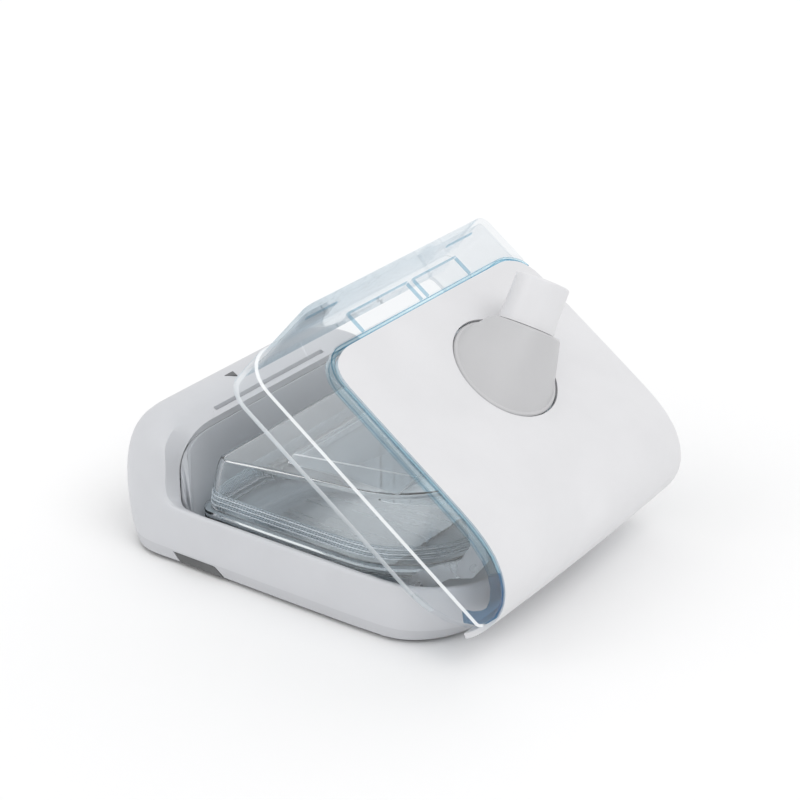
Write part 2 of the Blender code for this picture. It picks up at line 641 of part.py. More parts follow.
def build_lid_panel(mats):
    cols = (-1.0, -0.93, -0.75, -0.5, -0.25, 0.0, 0.25, 0.5, 0.75, 0.93, 1.0)
    rows = []
    for k in range(len(SKIN)):
        loss = corner_loss(SKIN[k][0] if k < 9 else 99.0)
        across = [c * ((PANEL_HALF if c > 0 else PANEL_FAR) - loss) for c in cols]
        tops = [skin_point(x, k, -crown(x)) for x in across]
        lows = [skin_point(x, k, 2.0) for x in reversed(across)]
        rows.append(tops + lows)
    verts, faces = loft(rows)
    origin = (0.0, HINGE_Y, HINGE_Z)
    obj = make("lid_panel", verts, faces, mats["panel"], origin, smooth=38)
    wide = DISC_R + 0.6
    hole = turned("cut_disc", world(ELBOW_X, ELBOW_L, 80.0), lid_axis(0, 0, 1), [(0, wide), (24, wide)],
                  mats["panel"], 48)
    subtract(obj, [hole])
    return obj


def build_lid_trim(mats):
    """Clear rib that frames the panel: down the window side, across the front, round the far corner."""
    side_rows = [k for k in range(len(TRIM_SKIN)) if TRIM_SKIN[k][0] > PANEL_FRONT + PANEL_R or k > 9]
    rings = []
    d0, d1 = 0.5, 5.6
    xo = PANEL_HALF + 2.1
    xi = PANEL_HALF + 0.4
    for k in reversed(side_rows):
        rings.append([skin_point(x, k, d, TRIM_SKIN) for x, d in ((xo, d0), (xi, d0), (xi, d1), (xo, d1))])
    r = PANEL_R
    cx = PANEL_HALF - r
    cy = PANEL_FRONT + r
    stations = [(cx, -90.0 * i / 7, d1) for i in range(8)]
    stations += [(-50.0, -90.0, d1)]
    stations += [(r - PANEL_FAR, -90.0 - 66.0 * i / 5, 2.3) for i in range(6)]
    for x, degrees, low in stations:
        a = math.radians(degrees)
        ring = []
        for rr, dd in ((r + 2.1, d0), (r + 0.4, d0), (r + 0.4, low), (r + 2.1, low)):
            ring.append(world(max(x + rr * math.cos(a), -68.4), cy + rr * math.sin(a), 94.2 - dd))
        rings.append(ring)
    verts, faces = loft(rings)
    return make("lid_trim", verts, faces, mats["blue"], (0.0, HINGE_Y, HINGE_Z), smooth=38)


def build_lid_inside(mats):
    origin = (0.0, HINGE_Y, HINGE_Z)
    hole = [(ELBOW_X + 14.0 * math.cos(a), ELBOW_L + 14.0 * math.sin(a)) for a in pan_angles()]
    spec = (
        (61.0, -47.5, 34.0, 10.0, 8.0, 91.4), (61.0, -47.5, 34.0, 10.0, 8.0, 89.6),
        (55.8, -44.0, 32.0, 9.0, 8.0, 89.2), (53.0, -41.0, 30.0, 9.0, 8.0, 84.6),
    )
    outer = [[world(x, y, n) for x, y in outline(hw, yf, yb, rf, rb)] for hw, yf, yb, rf, rb, n in spec]
    inner = [[world(x, y, n + 1.5) for x, y in outline(hw - 1.6, yf + 1.6, yb - 1.6, rf - 1.0, rb - 1.0)]
             for hw, yf, yb, rf, rb, n in spec[1:]]
    inner[0] = [world(x, y, 91.4) for x, y in outline(59.4, -45.9, 32.4, 9.0, 7.0)]
    rings = outer + [[world(x, y, 84.6) for x, y in hole], [world(x, y, 86.1) for x, y in hole]] + inner[::-1]
    verts, faces = loft(rings, closed=True)
    make("lid_duct", verts, faces, mats["duct"], origin, smooth=38)
    sp = [world(x, y, 82.9) for x, y in seal_outline(19.0)]
    s1 = [world(x, y, 84.2) for x, y in seal_outline(19.0)]
    s2 = [world(x, y, 84.2) for x, y in seal_outline(16.6)]
    s3 = [world(x, y, 82.9) for x, y in seal_outline(16.6)]
    verts, faces = loft([sp, s1, s2, s3], closed=True)
    make("lid_seal", verts, faces, mats["seal"], world(ELBOW_X, ELBOW_L, 83.5), smooth=38)
    for name, sx in (("lid_arm_right", 1), ("lid_arm_left", -1)):
        arm(name, sx, mats)
    for name, x0, x1 in (("lid_catch_right", 35.0, 54.0), ("lid_catch_left", -54.0, -35.0)):
        block(name, x0, x1, -70.9, -69.7, 84.0, 90.6, mats["clear"], origin)
    block("lid_rib_right", 3.0, 34.0, -64.0, -62.8, 86.0, 90.9, mats["clear"], origin)
    block("lid_rib_left", -34.0, -3.0, -64.0, -62.8, 86.0, 90.9, mats["clear"], origin)


def block(name, x0, x1, l0, l1, n0, n1, mat, origin):
    corners = [(x0, l0), (x1, l0), (x1, l1), (x0, l1)]
    rings = [[world(x, y, n) for x, y in corners] for n in (n0, n1)]
    verts, faces = loft(rings)
    return make(name, verts, faces, mat, origin, 38)


def pan_angles():
    ref = outline(53.0, -41.0, 30.0, 9.0, 8.0)
    return [math.atan2(y - ELBOW_L, x - ELBOW_X) for x, y in ref]


def seal_outline(r):
    return [(ELBOW_X + r * math.cos(a), ELBOW_L + r * math.sin(a))
            for a in [2 * math.pi * i / 40 for i in range(40)]]


def arm(name, sx, mats):
    """Hinge arm: an eye round the pin, a web up behind the clear wall and a pad against the wall."""
    lh = HINGE_Y * COS - HINGE_Z * SIN
    nh = HINGE_Y * SIN + HINGE_Z * COS
    r = 4.0
    pts = []
    for i in range(15):
        a = math.radians(180.0 + 180.0 * i / 14)
        pts.append((lh + r * math.cos(a), nh + r * math.sin(a)))
    pts += [(lh + 4.2, nh + 5.0), (lh + 7.0, nh + 14.5), (lh + 13.0, nh + 23.0), (lh + 13.0, nh + 34.0),
            (lh + 5.5, nh + 40.4), (lh - 4.0, nh + 40.4), (lh + 4.5, nh + 33.0), (lh + 5.5, nh + 24.0),
            (lh + 0.5, nh + 14.5), (lh - 3.4, nh + 4.6)]
    x0, x1 = (57.2, 59.0)
    rings = [[world(sx * xx, length, height) for length, height in pts] for xx in (x0, x1)]
    verts, faces = loft(rings)
    obj = make(name, verts, faces, mats["duct"], (sx * 58.1, HINGE_Y, HINGE_Z), 38)
    eye = [(0, 2.0), (8, 2.0)]
    hole = turned("cut_eye", (sx * 54.0, HINGE_Y, HINGE_Z), (sx, 0, 0), eye, mats["duct"], 20)
    subtract(obj, [hole])
    return obj


def build_pins(mats):
    for name, sx in (("hinge_pin_right", 1), ("hinge_pin_left", -1)):
        turned(name, (sx * 55.6, HINGE_Y, HINGE_Z), (sx, 0, 0),
               [(0, 2.9), (1.0, 2.9), (1.0, 1.6), (9.8, 1.6)],
               mats["steel"], 20)


# ---- elbow ----------------------------------------------------------------------------------------
def build_elbow(mats):
    n_axis = lid_axis(0, 0, 1)
    lean = Vector((-0.769, 0.0, 0.0)) + lid_axis(0, -0.639, 0)
    lean.normalize()
    t_axis = (n_axis * 0.726 + lean * 0.688).normalized()
    v = n_axis.cross(lean).normalized()
    base = Vector(world(ELBOW_X, ELBOW_L, 94.2))

    def flat_ring(dn, r):
        return ring_of(base + n_axis * dn, lean, v, r, 40)

    foot = base + Vector((-2.9, 0.0, 0.0)) + lid_axis(0, 0.84, 0)

    def port_ring(s, r):
        return ring_of(foot + t_axis * s, v.cross(t_axis), v, r, 40)

    def blend(a, b, f, bulge=0.0):
        out = []
        for p, q in zip(a, b):
            m = Vector(p) * (1 - f) + Vector(q) * f
            m += n_axis * (bulge * math.sin(math.pi * f))
            out.append((m.x, m.y, m.z))
        return out

    low = flat_ring(0.9, 21.6)
    high = port_ring(COLLAR_S, COLLAR_R)
    rings = [flat_ring(SPIGOT, 11.6), flat_ring(-3.4, 11.6), flat_ring(-3.4, DISC_R), flat_ring(0.3, DISC_R),
             flat_ring(0.8, DISC_R - 0.5), low]
    rings += [blend(low, high, f, 0.6) for f in (0.15, 0.35, 0.55, 0.75, 0.9)]
    rings += [high, port_ring(COLLAR_S + 0.7, COLLAR_R - 0.8)]
    inner_low = flat_ring(-8.0, BORE_R)
    inner_high = port_ring(COLLAR_S + 0.7, BORE_R)
    rings += [inner_high, blend(inner_low, inner_high, 0.7), blend(inner_low, inner_high, 0.35), inner_low,
              flat_ring(SPIGOT, BORE_R)]
    verts, faces = loft(rings, closed=True)
    port = [port_ring(COLLAR_S + 1.0, PORT_R + 0.6), port_ring(COLLAR_S + 1.7, PORT_R + 0.15),
            port_ring(PORT_LEN - 0.6, PORT_R), port_ring(PORT_LEN, PORT_R - 0.5), port_ring(PORT_LEN, BORE_R),
            port_ring(COLLAR_S + 1.0, BORE_R)]
    origin = world(ELBOW_X, ELBOW_L, 94.2)
    make("elbow", verts, faces, mats["panel"], origin, 38)
    verts, faces = loft(port, closed=True)
    make("elbow_port", verts, faces, mats["panel"], origin, 38)
    c = base + n_axis * -6.4
    turned("elbow_oring", tuple(c), tuple(n_axis),
           [(0, 12.0), (1.8, 12.0), (1.8, 13.4), (0, 13.4)], mats["seal"], 32,
           origin, closed=True)
    c = base + n_axis * -11.2
    turned("elbow_retainer", tuple(c), tuple(n_axis),
           [(0, 11.9), (1.2, 11.9), (1.2, 16.0), (0, 16.0)], mats["duct"], 32,
           origin, closed=True)


def main():
    clear_scene()
    mats = {
        "shell": material("white_shell", (0.72, 0.73, 0.74), 0.35),
        "panel": material("white_panel", (0.80, 0.80, 0.80), 0.32),
        "liner": material("grey_liner", (0.33, 0.35, 0.38), 0.45),
        "clear": material("clear_plastic", (0.80, 0.90, 0.94), 0.06, alpha=0.30),
        "blue": material("clear_blue_trim", (0.45, 0.68, 0.80), 0.06, alpha=0.45),
        "duct": material("frosted_plastic", (0.72, 0.75, 0.77), 0.35),
        "rubber": material("dark_rubber", (0.13, 0.13, 0.13), 0.75),
        "seal": material("grey_silicone", (0.42, 0.45, 0.48), 0.55),
        "steel": material("brushed_steel", (0.60, 0.60, 0.60), 0.30, 1.0),
        "mica": material("insulator", (0.62, 0.58, 0.50), 0.80),
        "board": material("circuit_board", (0.04, 0.22, 0.12), 0.50),
        "brass": material("contact_metal", (0.75, 0.58, 0.25), 0.30, 1.0),
    }
    build_base_shell(mats)
    build_liner(mats)
    build_underside(mats)
    build_heater(mats)
    build_docking(mats)
    build_tank(mats)
    build_lid_shell(mats)
    build_lid_panel(mats)
    build_lid_trim(mats)
    build_lid_inside(mats)
    build_pins(mats)
    build_elbow(mats)


main()
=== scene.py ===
import json
import math

import bmesh
import bpy
from mathutils import Matrix, Vector

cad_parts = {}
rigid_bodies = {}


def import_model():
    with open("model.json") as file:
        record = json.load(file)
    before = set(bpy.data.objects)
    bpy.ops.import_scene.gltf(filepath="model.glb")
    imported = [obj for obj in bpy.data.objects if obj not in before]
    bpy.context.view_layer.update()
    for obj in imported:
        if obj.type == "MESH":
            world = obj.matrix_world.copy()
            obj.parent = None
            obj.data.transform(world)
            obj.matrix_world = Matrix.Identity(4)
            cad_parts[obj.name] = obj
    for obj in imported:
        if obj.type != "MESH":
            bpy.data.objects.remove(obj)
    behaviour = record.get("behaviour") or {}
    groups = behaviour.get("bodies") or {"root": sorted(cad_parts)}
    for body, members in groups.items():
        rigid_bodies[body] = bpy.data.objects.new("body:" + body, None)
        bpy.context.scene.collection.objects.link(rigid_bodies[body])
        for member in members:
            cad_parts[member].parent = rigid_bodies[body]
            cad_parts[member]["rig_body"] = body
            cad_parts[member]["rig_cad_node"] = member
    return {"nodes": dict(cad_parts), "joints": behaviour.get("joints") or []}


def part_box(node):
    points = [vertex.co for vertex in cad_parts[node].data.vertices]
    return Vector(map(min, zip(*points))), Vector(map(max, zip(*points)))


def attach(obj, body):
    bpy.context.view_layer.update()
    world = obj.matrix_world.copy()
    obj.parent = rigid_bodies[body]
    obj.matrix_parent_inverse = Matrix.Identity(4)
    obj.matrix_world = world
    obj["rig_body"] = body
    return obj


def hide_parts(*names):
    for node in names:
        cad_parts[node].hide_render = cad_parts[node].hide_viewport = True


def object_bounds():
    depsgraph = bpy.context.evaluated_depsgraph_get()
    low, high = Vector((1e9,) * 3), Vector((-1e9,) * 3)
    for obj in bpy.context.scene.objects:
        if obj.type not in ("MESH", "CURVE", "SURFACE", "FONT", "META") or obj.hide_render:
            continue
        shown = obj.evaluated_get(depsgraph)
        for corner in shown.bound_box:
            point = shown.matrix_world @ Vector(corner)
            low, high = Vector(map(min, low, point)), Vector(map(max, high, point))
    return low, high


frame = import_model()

bl_info = {
    "name": "Bedside humidifier module",
    "version": (1, 0, 0),
    "blender": (4, 5, 0),
    "location": "View3D > Sidebar > Humidifier",
    "description": "Finished shells, clear lid, water tank and outlet elbow on the humidifier frame",
    "category": "Object",
}

NODES = frame["nodes"]
JOINTS = {joint["name"]: joint for joint in frame["joints"]}
CAD_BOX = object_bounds()
HINGE = Vector(JOINTS["lid_hinge"]["pos_m"])
SWIVEL = Vector(JOINTS["elbow_swivel"]["pos_m"])
LID_UP = Vector(JOINTS["elbow_swivel"]["axis"]).normalized()
LID_BACK = Vector((0.0, LID_UP.z, -LID_UP.y))
ACROSS = Vector((1.0, 0.0, 0.0))

# along the lid's own directions, from the swivel seat
POCKETS = ((0.004, 0.043), (-0.030, 0.0))      # latch pockets, from side to side
POCKET_FRONT = -0.0513
POCKET_SIDES = (-0.0505, -0.0418)              # front and back end of the pocket sides
SHORT_RIBS = ((0.043, 0.062, -0.0572), (-0.049, -0.031, -0.0569))   # two sides and the place along
POCKET_DEPTHS = (-0.0042, -0.0027)             # lower and upper edge of all of these
POCKET_WALL = 0.0004
LEDGE = (0.0135, 0.0156)                       # the step round the lid, above its lower edge
RIM_DEPTH = 0.0006                             # lower edge of the lid, with its rounding
TRIM_TURN = -0.009                             # where the trim turns down over the back

# tank
RIB_COUNT = 3
RIB_START = 0.0034                             # lowest rib above the foot of the upper shell
RIB_STEP = 0.0019
DECK_FRONT = 0.036                             # from the front of the upper shell
DECK_BACK = 0.024                              # from the back of the upper shell
DECK_FALL = 0.0034                             # how much lower its front lies
DECK_GAP = 0.0002
DECK_HALF = {("top", "back"): 0.0415, ("top", "front"): 0.0475,
             ("foot", "back"): 0.0540, ("foot", "front"): 0.0515}

# arrow mark, across the front wall and ahead of the release bar
MARK_ACROSS = 0.0105
MARK_AHEAD = 0.0115
MARK_DEPTH = 0.0005


# ---- settings a user would change ----------------------------------------------------------------
def colour(name, description, default):
    return bpy.props.FloatVectorProperty(
        name=name, description=description, default=default, subtype="COLOR", size=3, min=0.0, max=1.0)


def length(name, description, default):
    return bpy.props.FloatProperty(
        name=name, description=description, default=default, unit="LENGTH", subtype="DISTANCE", min=0.0,
        precision=5)


class HumidifierFinish(bpy.types.PropertyGroup):
    """Colours and surface texture of the plastics."""
    shell: colour("Shell", "Colour of the moulded base", (0.590, 0.600, 0.625))
    panel: colour("Panel", "Colour of the lid panel and the outlet", (0.690, 0.690, 0.705))
    # painted shade: the skirt colour is the white of the panel darkened, for the shade on the skirt where it
    # faces away from the light
    shaded_skirt: colour("Skirt", "Colour of the elbow's wide skirt", (0.510, 0.510, 0.520))
    liner: colour("Liner", "Colour of the inner tray", (0.520, 0.540, 0.570))
    clear: colour("Clear plastic", "Tint of the clear lid and tank", (0.955, 0.982, 0.995))
    edge_tint: colour("Edge tint", "Tint of clear plastic looked at along its thickness", (0.42, 0.58, 0.68))
    trim: colour("Trim", "Tint of the rib round the panel", (0.330, 0.640, 0.830))
    foot: colour("Feet", "Colour of the rubber feet", (0.115, 0.118, 0.120))
    grain: length("Grain", "Size of the fine moulded texture", 0.00035)


class HumidifierSizes(bpy.types.PropertyGroup):
    """Edge rounding and small relief."""
    edge: length("Edge round", "Rounding of outer moulded edges", 0.0006)
    clear_edge: length("Clear edge round", "Rounding of clear plastic edges", 0.0004)
    # painted shade: the band at the foot of the base is painted darker for the shade under its lower edge
    skirt_height: length("Skirt height", "Height of the darker band round the foot of the base", 0.0066)
    deck: length("Deck", "Height of the raised step on the tank", 0.0026)
    rib: length("Rib", "Height of the small ribs round the tank", 0.0005)
    mark_size: length("Mark size", "Side of the arrow mark on the front", 0.0062)


class HumidifierStage(bpy.types.PropertyGroup):
    """Camera and light."""
    azimuth: bpy.props.FloatProperty(
        name="Azimuth", description="Camera direction round the model", default=math.radians(125.07),
        subtype="ANGLE", unit="ROTATION")
    elevation: bpy.props.FloatProperty(
        name="Elevation", description="Camera height above the horizon", default=math.radians(25.0),
        subtype="ANGLE", unit="ROTATION")
    distance: length("Distance", "Camera distance from the aim point", 0.800)
    lens: bpy.props.FloatProperty(name="Lens", description="Focal length in millimetres", default=90.36)
    key: bpy.props.FloatProperty(
        name="Key light", description="Strength of the main soft light", default=0.78)
    fill: bpy.props.FloatProperty(
        name="Fill light", description="Strength of the light all round", default=0.88)


# ---- mesh helpers --------------------------------------------------------------------------------
def deselect():
    if bpy.context.mode != "OBJECT":
        bpy.ops.object.mode_set(mode="OBJECT")
    bpy.ops.object.select_all(action="DESELECT")


def activate(obj):
    deselect()
    obj.select_set(True)
    bpy.context.view_layer.objects.active = obj
    return obj


def edit(obj, select="SELECT"):
    activate(obj)
    bpy.ops.object.mode_set(mode="EDIT")
    bpy.ops.mesh.select_all(action=select)


def leave():
    bpy.ops.object.mode_set(mode="OBJECT")


def copy_of(node, name):
    """A free copy of a CAD node's mesh, merged and turned back into quads."""
    obj = NODES[node].copy()
    obj.data = NODES[node].data.copy()
    obj.name = name
    obj.data.name = name
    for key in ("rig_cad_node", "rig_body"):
        if key in obj:
            del obj[key]
    obj.parent = None
    bpy.context.scene.collection.objects.link(obj)
    edit(obj)
    bpy.ops.mesh.remove_doubles(threshold=0.00001)
    bpy.ops.mesh.normals_make_consistent(inside=False)
    bpy.ops.mesh.tris_convert_to_quads(
        face_threshold=math.radians(28.0), shape_threshold=math.radians(75.0))
    leave()
    return obj


def apply(obj, kind, **settings):
    activate(obj)
    mod = obj.modifiers.new(kind.lower(), kind)
    for key, value in settings.items():
        setattr(mod, key, value)
    bpy.ops.object.modifier_apply(modifier=mod.name)


def refine(obj, edge, levels=1, angle=32.0, segments=2, smooth=35.0, edge_slot=-1):
    """Rounds the sharp edges, in a material slot of their own where one is given, and smooths the rest."""
    if edge > 0.0:
        apply(obj, "BEVEL", width=edge, segments=segments, limit_method="ANGLE", material=edge_slot,
              angle_limit=math.radians(angle), use_clamp_overlap=True, harden_normals=False)
    if levels > 0:
        apply(obj, "SUBSURF", levels=levels, render_levels=levels, boundary_smooth="ALL")
    activate(obj)
    bpy.ops.object.shade_smooth_by_angle(angle=math.radians(smooth))


def coat(obj, *names):
    """Empties the material slots and fills them again, in order."""
    obj.data.materials.clear()
    for name in names:
        obj.data.materials.append(finish(name))


def finish_piece(obj, body, mat, slot, *nodes):
    """Material, body and the CAD nodes that the piece stands for; the slot argument is not used."""
    if mat:
        obj.data.materials.clear()
        obj.data.materials.append(mat)
    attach(obj, body)
    if nodes:
        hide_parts(*nodes)
    return obj


def lid_point(x, along, up):
    """Point on the lid, measured across, towards the hinge and up from the swivel seat."""
    return SWIVEL + ACROSS * x + LID_BACK * along + LID_UP * up


def on_lid(point):
    """How far across, along and above the swivel seat a point lies."""
    d = Vector(point) - SWIVEL
    return d.x, d.dot(LID_BACK), d.dot(LID_UP)


def bar(x0, x1, a0, a1, low, high):
    """Straight bar in the lid's own directions: across, along, up from the swivel seat."""
    deselect()
    turn = Matrix((ACROSS, LID_BACK, LID_UP)).transposed().to_euler()
    centre = lid_point((x0 + x1) * 0.5, (a0 + a1) * 0.5, (low + high) * 0.5)
    bpy.ops.mesh.primitive_cube_add(size=1.0, location=centre, rotation=turn)
    obj = bpy.context.active_object
    obj.scale = (x1 - x0, a1 - a0, high - low)
    bpy.ops.object.transform_apply(location=True, rotation=True, scale=True)
    return obj


def joined(objects, name):
    activate(objects[0])
    for obj in objects:
        obj.select_set(True)
    bpy.ops.object.join()
    obj = bpy.context.active_object
    obj.name = name
    obj.data.name = name
    return obj


def pocket_plan():
    """Thin ribs under the front of the lid: two latch pockets and two short bars, across and along."""
    rows = []
    for x0, x1 in POCKETS:
        rows.append((x0, x1, POCKET_FRONT, POCKET_FRONT + POCKET_WALL))
        rows.append((x0, x0 + POCKET_WALL, *POCKET_SIDES))
        rows.append((x1 - POCKET_WALL, x1, *POCKET_SIDES))
    for x0, x1, along in SHORT_RIBS:
        rows.append((x0, x1, along, along + POCKET_WALL))
    return rows


# ---- material helpers ----------------------------------------------------------------------------
class Recipe:
    """A node material built one node at a time."""

    def __init__(self, name):
        self.mat = bpy.data.materials.get(name) or bpy.data.materials.new(name)
        self.mat.use_nodes = True
        self.tree = self.mat.node_tree
        self.tree.nodes.clear()
        self.out = self.node("ShaderNodeOutputMaterial")
        self.shader = self.node("ShaderNodeBsdfPrincipled")
        self.place = self.node("ShaderNodeTexCoord")
        self.link(self.shader, "BSDF", self.out, "Surface")

    def node(self, kind, **values):
        made = self.tree.nodes.new(kind)
        for key, value in values.items():
            setattr(made, key, value)
        return made

    def link(self, source, out, target, into):
        self.tree.links.new(source.outputs[out], target.inputs[into])

    def set(self, **values):
        names = {"colour": "Base Color", "rough": "Roughness", "metal": "Metallic", "coat": "Coat Weight",
                 "coat_rough": "Coat Roughness", "glass": "Transmission Weight", "ior": "IOR",
                 "scatter": "Subsurface Weight", "sheen": "Sheen Weight", "spec": "Specular IOR Level"}
        for key, value in values.items():
            value = (*value, 1.0) if key == "colour" else value
            self.shader.inputs[names[key]].default_value = value
        return self

    def noise(self, scale, detail=3.0, rough=0.55, stretch=None):
        made = self.node("ShaderNodeTexNoise")
        made.inputs["Scale"].default_value = scale
        made.inputs["Detail"].default_value = detail
        made.inputs["Roughness"].default_value = rough
        if stretch:
            mapping = self.node("ShaderNodeMapping")
            mapping.inputs["Scale"].default_value = stretch
            self.link(self.place, "Object", mapping, "Vector")
            self.link(mapping, "Vector", made, "Vector")
        else:
            self.link(self.place, "Object", made, "Vector")
        return made

    def ramp(self, source, out, low, high, a, b):
        """Maps source from low..high to the colours or greys a..b."""
        made = self.node("ShaderNodeValToRGB")
        made.color_ramp.elements[0].position = low
        made.color_ramp.elements[1].position = high
        made.color_ramp.elements[0].color = (*a, 1.0) if hasattr(a, "__len__") else (a, a, a, 1.0)
        made.color_ramp.elements[1].color = (*b, 1.0) if hasattr(b, "__len__") else (b, b, b, 1.0)
        self.link(source, out, made, "Fac")
        return made

    def bump(self, sources, strength, distance):
        """Stacks height sources into one bump."""
        last = None
        for source, out, share in sources:
            made = self.node("ShaderNodeBump")
            made.inputs["Strength"].default_value = strength * share
            made.inputs["Distance"].default_value = distance
            self.link(source, out, made, "Height")
            if last:
                self.link(last, "Normal", made, "Normal")
            last = made
        self.link(last, "Normal", self.shader, "Normal")
        return last


def shade(base, factor):
    return tuple(min(c * factor, 1.0) for c in base)


def moulded(name, base, grain, rough, bump):
    """Opaque moulded plastic: fine spark-eroded texture, faint flow clouds, uneven gloss."""
    made = Recipe(name)
    spread = 0.025
    made.set(colour=base, ior=1.5, scatter=0.04)
    made.shader.inputs["Subsurface Radius"].default_value = (0.002, 0.002, 0.0022)
    made.shader.inputs["Subsurface Scale"].default_value = 1.0
    clouds = made.noise(34.0, 4.0)
    tone = made.ramp(clouds, "Fac", 0.3, 0.7, shade(base, 1.0 - spread), shade(base, 1.0 + spread))
    made.link(tone, "Color", made.shader, "Base Color")
    fine = made.noise(1.0 / grain, 2.0)
    wide = made.noise(90.0, 3.0)
    gloss = made.ramp(wide, "Fac", 0.25, 0.75, rough[0], rough[1])
    made.link(gloss, "Color", made.shader, "Roughness")
    made.bump([(fine, "Fac", 1.0), (wide, "Fac", 0.25)], bump, 0.00012)
    return made.mat


def clear(name, tint, rough, wave, density):
    """Clear moulded plastic: refracting, faint flow waves, scattered hairline scratches."""
    made = Recipe(name)
    made.set(colour=tint, glass=1.0, ior=1.49, rough=rough)
    flow = made.noise(22.0, 2.0)
    scratches = made.noise(420.0, 2.0, 0.6, (1.0, 0.12, 1.0))
    marks = made.ramp(scratches, "Fac", 0.62, 0.74, rough, rough + 0.10)
    made.link(marks, "Color", made.shader, "Roughness")
    made.bump([(flow, "Fac", 1.0), (scratches, "Fac", 0.06)], wave, 0.0006)
    through = made.node("ShaderNodeBsdfTransparent")
    through.inputs["Color"].default_value = (*shade(tint, 0.98), 1.0)
    path = made.node("ShaderNodeLightPath")
    mix = made.node("ShaderNodeMixShader")
    made.link(path, "Is Shadow Ray", mix, "Fac")
    made.tree.links.new(made.shader.outputs["BSDF"], mix.inputs[1])
    made.tree.links.new(through.outputs["BSDF"], mix.inputs[2])
    made.link(mix, "Shader", made.out, "Surface")
    depth = made.node("ShaderNodeVolumeAbsorption")
    depth.inputs["Color"].default_value = (*tint, 1.0)
    depth.inputs["Density"].default_value = density
    made.link(depth, "Volume", made.out, "Volume")
    return made.mat


def sheet(name, tint, edge):
    """Thin clear moulding: light goes straight on, the tint deepens at a slant, and the skin shines."""
    made = Recipe(name)
    tree = made.tree
    flow = made.noise(22.0, 2.0)
    scratches = made.noise(420.0, 2.0, 0.6, (1.0, 0.12, 1.0))
    ripple = made.node("ShaderNodeBump")
    ripple.inputs["Strength"].default_value = 0.05
    ripple.inputs["Distance"].default_value = 0.0006
    made.link(flow, "Fac", ripple, "Height")
    slant = made.node("ShaderNodeLayerWeight")
    slant.inputs["Blend"].default_value = 0.5
    made.link(ripple, "Normal", slant, "Normal")
    depth = made.ramp(slant, "Facing", 0.80, 0.995, tint, edge)
    through = made.node("ShaderNodeBsdfTransparent")
    made.link(depth, "Color", through, "Color")
    skin = made.node("ShaderNodeBsdfGlossy")
    skin.inputs["Color"].default_value = (1.0, 1.0, 1.0, 1.0)
    shine = made.ramp(scratches, "Fac", 0.55, 0.75, 0.03, 0.16)
    made.link(shine, "Color", skin, "Roughness")
    made.link(ripple, "Normal", skin, "Normal")
    edge_on = made.ramp(slant, "Facing", 0.55, 1.0, 0.05, 0.55)
    mix = made.node("ShaderNodeMixShader")
    made.link(edge_on, "Color", mix, "Fac")
    tree.links.new(through.outputs["BSDF"], mix.inputs[1])
    tree.links.new(skin.outputs["BSDF"], mix.inputs[2])
    made.link(mix, "Shader", made.out, "Surface")
    tree.nodes.remove(made.shader)
    return made.mat


def metal(name, base, rough, stretch, bump=0.15):
    """Brushed metal: long fine lines in the bump and in the gloss."""
    made = Recipe(name)
    made.set(colour=base, metal=1.0, rough=rough)
    lines = made.noise(600.0, 3.0, 0.6, stretch)
    gloss = made.ramp(lines, "Fac", 0.3, 0.7, rough - 0.08, rough + 0.12)
    made.link(gloss, "Color", made.shader, "Roughness")
    tone = made.ramp(lines, "Fac", 0.3, 0.7, shade(base, 0.9), shade(base, 1.08))
    made.link(tone, "Color", made.shader, "Base Color")
    made.bump([(lines, "Fac", 1.0)], bump, 0.0001)
    return made.mat


def soft(name, base, rough, grain, bump=0.3):
    """Rubber or silicone: dull, finely pitted, a little paler where it is rubbed."""
    made = Recipe(name)
    made.set(colour=base, ior=1.45, sheen=0.08)
    pits = made.noise(1.0 / grain, 3.0)
    wide = made.noise(120.0, 3.0)
    tone = made.ramp(wide, "Fac", 0.35, 0.8, base, shade(base, 1.25))
    made.link(tone, "Color", made.shader, "Base Color")
    gloss = made.ramp(pits, "Fac", 0.3, 0.7, rough - 0.08, rough + 0.06)
    made.link(gloss, "Color", made.shader, "Roughness")
    made.bump([(pits, "Fac", 1.0)], bump, 0.0002)
    return made.mat


def board(name):
    """Lacquered circuit board: fine copper runs under green lacquer."""
    made = Recipe(name)
    made.set(colour=(0.02, 0.16, 0.08), rough=0.3, coat=0.5, coat_rough=0.15)
    runs = made.node("ShaderNodeTexVoronoi", feature="DISTANCE_TO_EDGE", distance="CHEBYCHEV")
    runs.inputs["Scale"].default_value = 260.0
    made.link(made.place, "Object", runs, "Vector")
    tone = made.ramp(runs, "Distance", 0.04, 0.09, (0.06, 0.28, 0.12), (0.015, 0.13, 0.06))
    made.link(tone, "Color", made.shader, "Base Color")
    made.bump([(runs, "Distance", 1.0)], 0.2, 0.0001)
    return made.mat


def flecked(name, base):
    """Insulating sheet with mica flecks."""
    made = Recipe(name)
    made.set(colour=base, rough=0.7)
    cells = made.node("ShaderNodeTexVoronoi")
    cells.inputs["Scale"].default_value = 520.0
    made.link(made.place, "Object", cells, "Vector")
    tone = made.ramp(cells, "Distance", 0.1, 0.6, shade(base, 0.75), shade(base, 1.2))
    made.link(tone, "Color", made.shader, "Base Color")
    made.bump([(cells, "Distance", 1.0)], 0.2, 0.0001)
    return made.mat


def painted_edge_light(name, base, cover):
    """Polished edge of a clear moulding, its light painted on: a near-white colour stands in for the light
    the edge gathers and hides most of what lies behind.
    """
    made = Recipe(name)
    made.set(colour=base, rough=0.18, ior=1.49)
    clouds = made.noise(160.0, 3.0)
    gloss = made.ramp(clouds, "Fac", 0.3, 0.7, 0.12, 0.24)
    made.link(gloss, "Color", made.shader, "Roughness")
    through = made.node("ShaderNodeBsdfTransparent")
    through.inputs["Color"].default_value = (*base, 1.0)
    mix = made.node("ShaderNodeMixShader")
    mix.inputs["Fac"].default_value = cover
    made.tree.links.new(through.outputs["BSDF"], mix.inputs[1])
    made.tree.links.new(made.shader.outputs["BSDF"], mix.inputs[2])
    made.link(mix, "Shader", made.out, "Surface")
    return made.mat


